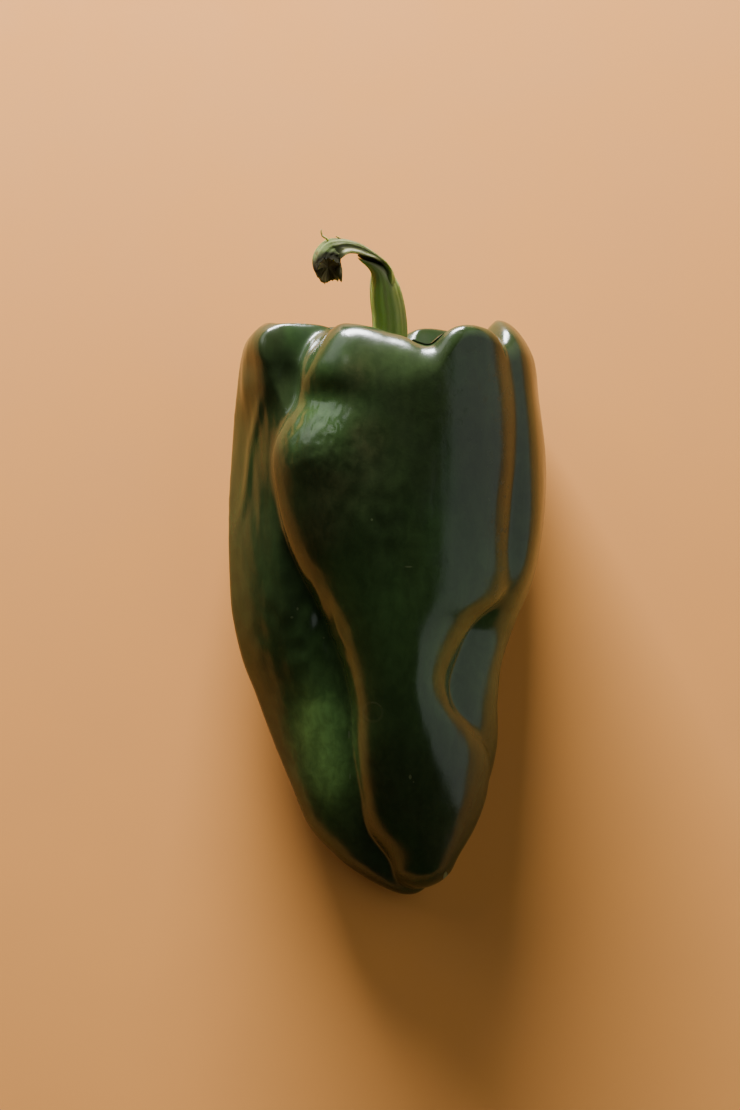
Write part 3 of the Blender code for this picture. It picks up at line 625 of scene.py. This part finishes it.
class Graph:
    """Short calls for building one material's nodes."""

    def __init__(self, name):
        self.material = bpy.data.materials.new(name)
        self.material.use_nodes = True
        self.tree = self.material.node_tree
        self.shader = self.tree.nodes["Principled BSDF"]

    def node(self, kind, inputs=(), **settings):
        made = self.tree.nodes.new(kind)
        for key, value in settings.items():
            setattr(made, key, value)
        for socket, value in dict(inputs).items():
            self.feed(made.inputs[socket], value)
        return made

    def feed(self, socket, value):
        if isinstance(value, bpy.types.NodeSocket):
            self.tree.links.new(value, socket)
        else:
            socket.default_value = value

    def place(self, scale, turn=POD_TILT):
        """Object coordinates with Y along the pod, scaled each way."""
        at = self.node("ShaderNodeTexCoord").outputs["Object"]
        turned = self.node("ShaderNodeMapping", {"Vector": at, "Rotation": (-turn, 0.0, 0.0)})
        scaled = self.node("ShaderNodeMapping", {"Vector": turned.outputs[0], "Scale": scale})
        return scaled.outputs[0]

    def noise(self, place, scale, detail, roughness=0.5, distortion=0.0):
        made = self.node("ShaderNodeTexNoise", {
            "Vector": place, "Scale": scale, "Detail": detail, "Roughness": roughness,
            "Distortion": distortion,
        })
        return made.outputs["Fac"]

    def reads(self, name):
        return self.node("ShaderNodeAttribute", attribute_name=name).outputs["Fac"]

    def range(self, value, low, high, to_low=0.0, to_high=1.0):
        """A smooth change from to_low at low to to_high at high, and even beyond them."""
        made = self.node("ShaderNodeMapRange", {
            "Value": value, "From Min": low, "From Max": high, "To Min": to_low, "To Max": to_high,
        }, interpolation_type="SMOOTHSTEP")
        return made.outputs["Result"]

    def math(self, operation, first, second=0.0):
        return self.node("ShaderNodeMath", {0: first, 1: second}, operation=operation).outputs[0]

    def plus(self, first, second):
        return self.math("ADD", first, second)

    def times(self, first, second):
        return self.math("MULTIPLY", first, second)

    def mix(self, factor, first, second, blend="MIX"):
        """Two colours mixed, through the node's colour sockets 6, 7 and 2."""
        made = self.node("ShaderNodeMix", data_type="RGBA", blend_type=blend)
        self.feed(made.inputs["Factor"], factor)
        self.feed(made.inputs[6], first)
        self.feed(made.inputs[7], second)
        return made.outputs[2]

    def bump(self, height, strength, distance):
        inputs = {"Height": height, "Strength": strength, "Distance": distance}
        return self.node("ShaderNodeBump", inputs).outputs[0]

    def finished(self, inputs):
        """The material, with these values or colours fed to its shader's sockets."""
        for socket, value in inputs.items():
            self.feed(self.shader.inputs[socket], value)
        return self.material


def rgb(red, green, blue):
    return (red, green, blue, 1.0)


def distance_from(g, x, t, wide=1.0, long=1.0):
    """Distance from a mark's middle seen from above, 1 MM being its half width or length."""
    flat = g.place((1.0 / wide, 1.0 / long, 0.0))
    mark = (x * MM / wide, (t - ORIGIN_T) * MM / long, 0.0)
    away = g.node("ShaderNodeVectorMath", {0: flat, 1: mark}, operation="DISTANCE")
    return away.outputs["Value"]


def pod_marks(g):
    """Small pale marks of the skin: a ring, dots, a scratch and the scar at the tip."""
    total = 0.0
    for x, t, wide, long, strength in MARKS:
        away = distance_from(g, x, t, wide, long)
        total = g.plus(total, g.range(away, 1.0 * MM, 0.4 * MM, 0.0, strength))
    x, t, radius = RING_MARK
    off_ring = g.math("ABSOLUTE", g.math("SUBTRACT", distance_from(g, x, t), radius * MM))
    return g.plus(total, g.range(off_ring, 0.45 * MM, 0.1 * MM, 0.0, 0.12))


def pod_material():
    g = Graph("Poblano skin")
    even = g.place(EVEN)
    broad = g.noise(g.place((1.0, 0.45, 1.0)), 55.0, 3.0, 0.55)
    streak = g.noise(g.place((1.0, 0.12, 1.0)), 260.0, 3.0, 0.6)
    mottle = g.noise(g.place((1.0, 0.7, 1.0)), 420.0, 4.0, 0.6, 0.4)
    fine = g.noise(even, 1500.0, 3.0, 0.6)

    darkest = rgb(0.0115, 0.0260, 0.0080)
    dark = rgb(0.0200, 0.0420, 0.0110)
    lighter = rgb(0.0560, 0.1080, 0.0310)
    lively = rgb(0.1750, 0.3400, 0.0900)
    brownish = rgb(0.0440, 0.0480, 0.0180)
    speckled = rgb(0.09, 0.11, 0.05)
    scarred = rgb(0.17, 0.20, 0.08)

    colour = g.mix(g.range(broad, 0.36, 0.66), darkest, dark)
    colour = g.mix(g.times(g.range(broad, 0.62, 0.42), 0.35), colour, brownish)
    bruised = g.times(g.reads("bruise"), g.range(mottle, 0.3, 0.7, 0.5, 1.1))
    colour = g.mix(bruised, colour, brownish)
    # Painted fill light: lighter green along the middle of the pod towards its tip, and in a spot
    # on its upper left
    painted_fill_share = g.times(g.reads("painted_fill"), g.range(broad, 0.3, 0.7, 0.7, 1.0))
    colour = g.mix(painted_fill_share, colour, lighter)
    # Painted light: brighter green spots where light falls on the lobes
    painted_light_share = g.times(g.reads("painted_light"), g.range(mottle, 0.25, 0.75, 0.75, 1.1))
    colour = g.mix(painted_light_share, colour, lively)
    streaked = g.range(streak, 0.35, 0.75, 0.92, 1.12)
    shade = g.times(streaked, g.range(mottle, 0.3, 0.7, 0.88, 1.12))
    grey = g.node("ShaderNodeCombineColor", {0: shade, 1: shade, 2: shade}).outputs[0]
    colour = g.mix(1.0, colour, grey, "MULTIPLY")

    cells = g.node("ShaderNodeTexVoronoi", {"Vector": even, "Scale": 210.0, "Randomness": 1.0})
    speck = g.range(cells.outputs["Distance"], 0.045, 0.025)
    chosen = g.range(g.noise(even, 90.0, 1.0), 0.56, 0.62)
    colour = g.mix(g.times(speck, chosen), colour, speckled)
    scar = g.times(pod_marks(g), g.reads("top"))
    colour = g.mix(scar, colour, scarred)

    rough = g.range(g.noise(g.place((1.0, 0.6, 1.0)), 150.0, 3.0), 0.3, 0.7, 0.17, 0.25)
    pits = g.range(g.noise(g.place((1.0, 0.8, 1.0)), 620.0, 2.0), 0.60, 0.66, 0.0, 0.3)
    rough = g.plus(rough, g.times(pits, g.reads("pitted")))
    rough = g.plus(rough, g.times(scar, 0.3))
    normal = g.bump(g.plus(mottle, g.times(fine, 0.35)), 0.30, 0.00012)
    return g.finished({"Base Color": colour, "Roughness": rough, "Normal": normal, "IOR": 1.50})


def stem_material():
    g = Graph("Stem")
    even = g.place(EVEN)
    along = g.reads("along")
    unrolled = {0: g.reads("ring"), 1: g.times(along, 0.16), 2: 0.0}
    streak = g.noise(g.node("ShaderNodeCombineXYZ", unrolled).outputs[0], 14.0, 4.0, 0.6)
    blotch = g.noise(even, 300.0, 3.0, 0.55)
    fine = g.noise(even, 1800.0, 3.0, 0.6)

    green = rgb(0.230, 0.310, 0.080)
    olive = rgb(0.250, 0.300, 0.110)
    lively = rgb(0.400, 0.600, 0.130)
    pale = rgb(0.520, 0.510, 0.250)
    cream = rgb(0.740, 0.710, 0.420)
    pit_brown = rgb(0.120, 0.085, 0.030)
    dull, dull_pale = rgb(0.080, 0.095, 0.034), rgb(0.150, 0.155, 0.080)
    straw, straw_pale = rgb(0.200, 0.140, 0.070), rgb(0.420, 0.340, 0.150)
    black, black_brown = rgb(0.004, 0.003, 0.0015), rgb(0.012, 0.009, 0.004)

    patches = g.range(blotch, 0.35, 0.65)
    fibres = g.range(streak, 0.4, 0.7)
    weathered = g.reads("weathered")
    colour = g.mix(patches, green, olive)
    colour = g.mix(weathered, colour, g.mix(patches, dull, dull_pale))
    # Partly the stem's own lively green, partly painted light on the stalk's shaded left side
    colour = g.mix(g.times(g.reads("lively"), 0.8), colour, lively)
    fresh = g.math("SUBTRACT", 1.0, weathered)
    colour = g.mix(g.times(g.range(streak, 0.55, 0.75, 0.0, 0.3), fresh), colour, pale)
    # Paler rib tops, with a painted highlight on one rib
    colour = g.mix(g.reads("ridge"), colour, pale)
    # Cream: a painted highlight on the flap's edge, and partly pale cut tissue, partly painted
    # highlight on the arch's inner rim
    creamy = g.times(g.reads("cream"), g.range(streak, 0.3, 0.6, 0.75, 1.0))
    colour = g.mix(creamy, colour, cream)
    pitted = g.times(g.times(g.range(blotch, 0.60, 0.68), 0.7), g.range(along, 8.0, 11.0))
    colour = g.mix(pitted, colour, pit_brown)
    colour = g.mix(g.reads("dry"), colour, g.mix(fibres, straw, straw_pale))
    dark = g.reads("dark")
    colour = g.mix(dark, colour, g.mix(fibres, black, black_brown))

    rough = g.plus(g.range(blotch, 0.3, 0.7, 0.52, 0.7), g.times(dark, 0.4))
    normal = g.bump(g.plus(streak, g.times(fine, 0.3)), 0.35, 0.0002)
    return g.finished({
        "Base Color": colour, "Roughness": rough, "Normal": normal, "IOR": 1.35,
        "Specular IOR Level": 0.12, "Subsurface Weight": 0.5,
        "Subsurface Radius": (1.8, 2.0, 0.9), "Subsurface Scale": MM,
    })


def calyx_material():
    g = Graph("Calyx")
    even = g.place(EVEN)
    blotch = g.noise(even, 350.0, 3.0, 0.55)
    fine = g.noise(even, 1600.0, 3.0, 0.6)
    green, light_green = rgb(0.040, 0.080, 0.014), rgb(0.085, 0.125, 0.026)
    colour = g.mix(g.range(blotch, 0.3, 0.7), green, light_green)
    colour = g.mix(g.reads("vein"), colour, rgb(0.17, 0.20, 0.06))
    colour = g.mix(g.reads("rim"), colour, rgb(0.20, 0.19, 0.07))
    rough = g.range(blotch, 0.3, 0.7, 0.38, 0.55)
    normal = g.bump(g.plus(blotch, g.times(fine, 0.3)), 0.3, 0.0002)
    return g.finished({"Base Color": colour, "Roughness": rough, "Normal": normal})


def skin_relief(x, t, h):
    """How far the pod's skin stands out from its smooth form, in millimetres."""
    upper = ramp(h, -14.0, -6.0)
    on_top = ramp(h, 8.0, 14.0)
    swells = SWELL_HEIGHT * noise_at(x, t, h, *SWELL_WAVES)
    lumps = LUMP_HEIGHT * noise_at(x, t, h, *LUMP_WAVES)
    puckered = spot(x, t, *PUCKERED) * on_top
    wrinkles = -PUCKER_DEPTH * puckered * np.abs(noise_at(x, t, h, *PUCKER_WAVES))
    on_left_flank = fall(x, -25.0, -21.0) * ramp(t, 62.0, 80.0)
    grain = GRAIN_HEIGHT + FLANK_GRAIN_HEIGHT * on_left_flank
    wrinkles += grain * ramp(h, -6.0, 0.0) * noise_at(x, t, h, *GRAIN_WAVES)
    fold = hump(x, curve_at(FOLD, t), FOLD_WIDTH) * ramp(t, 79.0, 85.0) * fall(t, 104.0, 109.0)
    wrinkles += FOLD_HEIGHT * fold * ramp(h, -2.0, 1.0)
    knobbly = spot(x, t, *KNOBBLY) * fall(x, -10.0, -6.0)
    wrinkles += KNOB_HEIGHT * knobbly * noise_at(x, t, h, *KNOB_WAVES)
    scuffed = spot(x, t, *SCUFFED) * on_top
    wrinkles += SCUFF_HEIGHT * scuffed * noise_at(x, t, h, *SCUFF_WAVES)
    return (swells - SKIN_DROP) * upper + lumps * (0.3 + 0.7 * upper) + wrinkles


def skin_looks(x, t, h):
    """What the pod's material reads at each vertex, from 0 to 1."""
    top = ramp(h, -2.0, 4.0)
    looks = {
        "painted_light": spots(x, t, PAINTED_LIGHT_HOLLOW) * fall(x, -7.0, -3.0) + spots(x, t, PAINTED_LIGHT_SPOTS),
        "painted_fill": 0.8 * hump(t, 56.0, 24.0) * (0.5 + 0.5 * ramp(x, -15.0, -9.0)) + spots(x, t, PAINTED_FILL_SPOTS),
        "bruise": spots(x, t, BRUISES),
        "pitted": spots(x, t, PITTED),
    }
    looks = {name: np.clip(values, 0.0, 1.0) * top for name, values in looks.items()}
    return {**looks, "top": ramp(h, -9.0, -5.0)}


def make_pod():
    def place(row, angle):
        return to_world(*pod_surface(row, angle + FINER_ON_TOP * np.cos(angle)))

    mesh, _, _ = grown_mesh("pod_skin", POD_ROWS, POD_COLUMNS, place)
    world = read_vectors(mesh.vertices, "co")
    normal = read_vectors(mesh.vertex_normals, "vector")
    x, t, h = to_pod(world)
    world = world + normal * (skin_relief(x, t, h) * MM)[:, None]
    low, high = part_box("pod")
    world = np.clip(world, np.array(low), np.array(high))
    mesh.vertices.foreach_set("co", world.astype(np.float32).ravel())
    mesh.update()
    for name, values in skin_looks(x, t, h).items():
        set_attribute(mesh, name, values)
    show("pod_skin", mesh, pod_material(), "pod")


def make_calyx():
    def place(row, angle):
        """The underside for the first half of the rows, and the top for the rest."""
        out = 2.0 * np.minimum(row, 1.0 - row)
        tooth = np.cos(CALYX_TEETH * angle)
        edge = CALYX_RADIUS * (1.0 + CALYX_SCALLOP * tooth)
        radius = edge * np.sin(0.5 * math.pi * out)
        floor = recess_depth_at(radius, angle) + PIECE_GAP
        share = radius / edge
        thick = CALYX_THICKNESS * np.sqrt(np.maximum(1.0 - share**2, 0.0))
        veins = CALYX_VEIN * tooth**4 * np.sin(math.pi * np.clip(share, 0.0, 1.0))
        top = np.maximum(floor + thick, np.where(out < 0.5, CALYX_SEAT, 0.0)) + veins
        t = np.where(row <= 0.5, floor, top)
        mid_x, mid_h = middle(t)
        return to_world(mid_x + radius * np.cos(angle), t, mid_h + radius * np.sin(angle))

    mesh, row, angle = grown_mesh("calyx_cap", CALYX_ROWS, CALYX_COLUMNS, place)
    out = np.clip(2.0 * (1.0 - row), 0.0, 1.0)
    vein = np.cos(CALYX_TEETH * angle) ** 12
    set_attribute(mesh, "vein", 0.6 * vein * ramp(out, 0.2, 0.5))
    set_attribute(mesh, "rim", 0.7 * ramp(out, 0.86, 0.98))
    show("calyx_cap", mesh, calyx_material(), "calyx")


def strand_skin(stations, along, angle, scale):
    """Skin (x, t, h) round a strand at these stations along it, and the strand's direction."""
    last = len(stations) - 1.0
    step = 0.05

    def line(column, at):
        return curve_at([(place, station[column]) for place, station in enumerate(stations)], at)

    def path(at):
        return np.stack([line(column, at) for column in range(3)], axis=1)

    run = path(np.clip(along + step, 0.0, last)) - path(np.clip(along - step, 0.0, last))
    run /= np.linalg.norm(run, axis=1, keepdims=True)
    side = np.cross(run, np.array([[0.0, 0.0, 1.0]]))
    side /= np.linalg.norm(side, axis=1, keepdims=True)
    over = np.cross(side, run)
    reach_side = (line(3, along) * scale * np.cos(angle))[:, None]
    reach_over = (line(4, along) * scale * np.sin(angle))[:, None]
    return path(along) + side * reach_side + over * reach_over, run


def ribs(angle):
    """1 on each rib of the stem and -1 halfway between two."""
    return np.cos(STEM_RIBS * angle + RIB_TURN)


def fine_ribs(angle, along):
    return np.cos(3 * STEM_RIBS * angle + FINE_RIB_TWIST * along)


def rounded_ends(row, power):
    """1 along a strand and 0 at both ends, the more suddenly the higher the power."""
    return np.sqrt(np.clip(1.0 - (2.0 * row - 1.0) ** power, 0.0, 1.0))


def strand(points, faces, angle, along, **looks):
    """One strand and what the stem's material reads at each vertex, 0 where not given."""
    looks = {"ring": angle, "along": along, **looks}
    none = np.zeros_like(angle)
    return points, faces, {name: none + looks.get(name, 0.0) for name in STEM_LOOKS}


def thin_strand(stations, rows, columns, dry, dark):
    """A tapered strand, rounded at both ends."""
    row, angle, faces = closed_grid(rows, columns)
    along = (len(stations) - 1) * row
    scale = rounded_ends(row, 12) * (1.0 + 0.06 * np.cos(3.0 * angle + 1.0))
    points, _ = strand_skin(stations, along, angle, scale)
    return strand(points, faces, angle, 8.0 + along, dry=dry, dark=dark)


def stalk():
    """The thick strand, from its foot on the calyx to the pointed flap beside the bend."""
    row, angle, faces = closed_grid(STEM_ROWS, STEM_COLUMNS)
    along = (len(STALK) - 1) * row
    rib = 1.0 + RIB_HEIGHT * ribs(angle) * fall(along, 5.0, 8.0)
    rib += 0.012 * fine_ribs(angle, along)
    points, _ = strand_skin(STALK, along, angle, rib * rounded_ends(row, 20))

    flap = ramp(along, 5.6, 7.0)
    lit_rib = hump(angle, 1.62, 0.14) * (1.0 - flap)
    rib_tops = np.clip(ribs(angle), 0.0, 1.0) ** 3
    # Painted highlight: a cream band along the flap's upper edge
    edge = hump(angle, 0.9, 0.45) * flap
    # Painted light: brighter green on the stalk's left side, which the arch shades, and a little at
    # the arch's end
    lively = np.clip(1.3 * hump(angle, 2.2, 0.8), 0.0, 1.0) * (1.0 - 0.7 * flap)
    ridge = np.clip(0.25 * rib_tops + 0.5 * lit_rib, 0.0, 1.0)
    return strand(points, faces, angle, 0.6 * along, ridge=ridge, cream=0.8 * edge, lively=lively)


def torn_end(row, angle, closing, mouth_row):
    """How far the arch's end stands out along the strand: ragged teeth round a sunken cup."""
    tooth_rows = 0.06
    from_low_side = angle + 0.5 * math.pi
    low_side = 0.6 + 0.4 * np.cos(from_low_side)
    teeth = STEM_END_TEETH * (0.3 * np.sin(3.0 * angle) - low_side * np.cos(4.0 * from_low_side))
    teeth += 0.25 * np.sin(17.0 * angle) + 0.18 * np.sin(29.0 * angle + 1.0)
    near_end = np.clip((row - mouth_row + tooth_rows) / tooth_rows, 0.0, 1.0) * closing
    cup = -STEM_END_CUP * (1.0 - closing**3) * (row > mouth_row)
    return teeth * near_end + cup


def arch():
    """The thin strand that leaves the stalk, bends over and ends in the torn mouth."""
    mouth_row = 0.88
    row, angle, faces = closed_grid(STEM_ROWS, STEM_COLUMNS)
    along = (len(ARCH) - 1) * np.clip(row / mouth_row, 0.0, 1.0)
    rib = 1.0 + RIB_HEIGHT * ribs(angle) + 0.02 * fine_ribs(angle, along)
    rough = noise_at(2.0 * np.cos(angle), along, 2.0 * np.sin(angle), 0.9, 1.1, 0.9, 3.0)
    rib += 0.06 * rough * ramp(along, 8.0, 10.5)
    raised_rim = hump(angle, 2.35, 0.32) * ramp(along, 4.5, 6.5) * fall(along, 9.4, 10.8)
    rib += 0.36 * raised_rim

    # Closed at its foot, and again behind the mouth, where the skin turns in
    foot_row = 0.03
    mouth = np.clip((1.0 - row) / (1.0 - mouth_row), 0.0, 1.0)
    closing = np.where(row > mouth_row, mouth, 1.0) * np.clip(row / foot_row, 0.0, 1.0)
    points, run = strand_skin(ARCH, along, angle, rib * closing)
    points = points + run * torn_end(row, angle, closing, mouth_row)[:, None]

    # Pale cut tissue and a painted highlight along the arch's inner rim
    cut_and_lit_side = hump(angle, 2.25, 0.45) * ramp(along, 4.5, 6.5) * fall(along, 9.6, 11.0)
    lip = ramp(along + 1.2 * hump(angle, 2.2, 0.9), 12.0, 12.9)
    in_mouth = ramp(row, mouth_row - 0.004, mouth_row + 0.02)
    dark = 0.35 * ramp(along, 9.5, 11.0) * (1.0 - lip) + 0.95 * lip
    return strand(
        points, faces, angle, 5.0 + along, cream=cut_and_lit_side, weathered=ramp(along, 2.0, 5.0),
        lively=0.20 * ramp(along, 10.0, 11.4) * (1.0 - lip), dry=in_mouth,
        dark=dark * (1.0 - 0.85 * in_mouth),
    )


def make_stem():
    strands = [stalk(), arch()] + [thin_strand(*thin) for thin in THIN_STRANDS]
    all_faces = []
    before = 0
    for points, faces, _ in strands:
        all_faces += [tuple(before + corner for corner in face) for face in faces]
        before += len(points)
    x, t, h = np.concatenate([points for points, _, _ in strands]).T
    mesh = smooth_mesh("stem_torn", to_world(x, t, h), all_faces)
    for name in STEM_LOOKS:
        set_attribute(mesh, name, np.concatenate([looks[name] for _, _, looks in strands]))
    show("stem_torn", mesh, stem_material(), "stem")


def area_light(name, place, aim, width, height, radiance, colour):
    """A soft light whose panel has this radiance seen from the front."""
    lamp = bpy.data.lights.new(name, "AREA")
    lamp.shape = "RECTANGLE"
    lamp.size = width
    lamp.size_y = height
    lamp.energy = math.pi * width * height * radiance
    lamp.color = colour
    back = (Vector(place) - Vector(aim)).normalized()
    turn = back.to_track_quat("Z", "Y").to_matrix().to_4x4()
    add_object(name, lamp).matrix_world = Matrix.Translation(place) @ turn


def make_stage():
    g = Graph("Pale floor")
    grain = g.noise(g.place(EVEN, 0.0), 40.0, 3.0)
    colour = g.mix(grain, *[rgb(*tone) for tone in FLOOR_COLOURS])
    rough = g.range(grain, 0.3, 0.7, 0.75, 0.85)
    surface = g.finished({"Base Color": colour, "Roughness": rough})
    grid = bmesh.new()
    bmesh.ops.create_grid(grid, x_segments=1, y_segments=1, size=FLOOR_HALF_WIDTH)
    mesh = bpy.data.meshes.new("floor")
    grid.to_mesh(mesh)
    grid.free()
    mesh.materials.append(surface)
    floor = add_object("floor", mesh)
    floor.location = (0.0, 0.0, -FLOOR_DROP)

    for light in LIGHTS:
        area_light(*light)

    world = bpy.data.worlds.new("Room")
    world.use_nodes = True
    background = world.node_tree.nodes["Background"]
    background.inputs["Color"].default_value = rgb(*ROOM_COLOUR)
    background.inputs["Strength"].default_value = ROOM_STRENGTH
    bpy.context.scene.world = world


def make_camera():
    """Looks straight down on the pod's axis, as the photograph does."""
    sight = bpy.data.cameras.new("camera")
    sight.lens = LENS
    sight.sensor_width = SENSOR_WIDTH
    sight.sensor_fit = "AUTO"
    sight.clip_start = CAMERA_CLIP_START
    camera = add_object("camera", sight)
    x, t = CAMERA_AIM
    target = Vector(to_world(*np.array([[x], [t], [0.0]]))[0])
    right = vector_to_world(1.0, 0.0, 0.0)
    up = vector_to_world(0.0, 1.0, 0.0)
    back = vector_to_world(0.0, 0.0, 1.0)
    turn = Matrix((right, up, back)).transposed().to_4x4()
    camera.matrix_world = Matrix.Translation(target + CAMERA_DISTANCE * back) @ turn
    bpy.context.scene.camera = camera


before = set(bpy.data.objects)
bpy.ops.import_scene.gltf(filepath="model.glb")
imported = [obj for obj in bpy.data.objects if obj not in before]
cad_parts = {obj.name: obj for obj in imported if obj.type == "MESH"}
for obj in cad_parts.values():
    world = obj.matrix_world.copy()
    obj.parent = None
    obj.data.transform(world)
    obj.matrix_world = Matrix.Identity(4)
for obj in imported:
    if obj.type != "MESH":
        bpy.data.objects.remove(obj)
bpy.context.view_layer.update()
make_camera()
make_stage()
make_pod()
make_calyx()
make_stem()
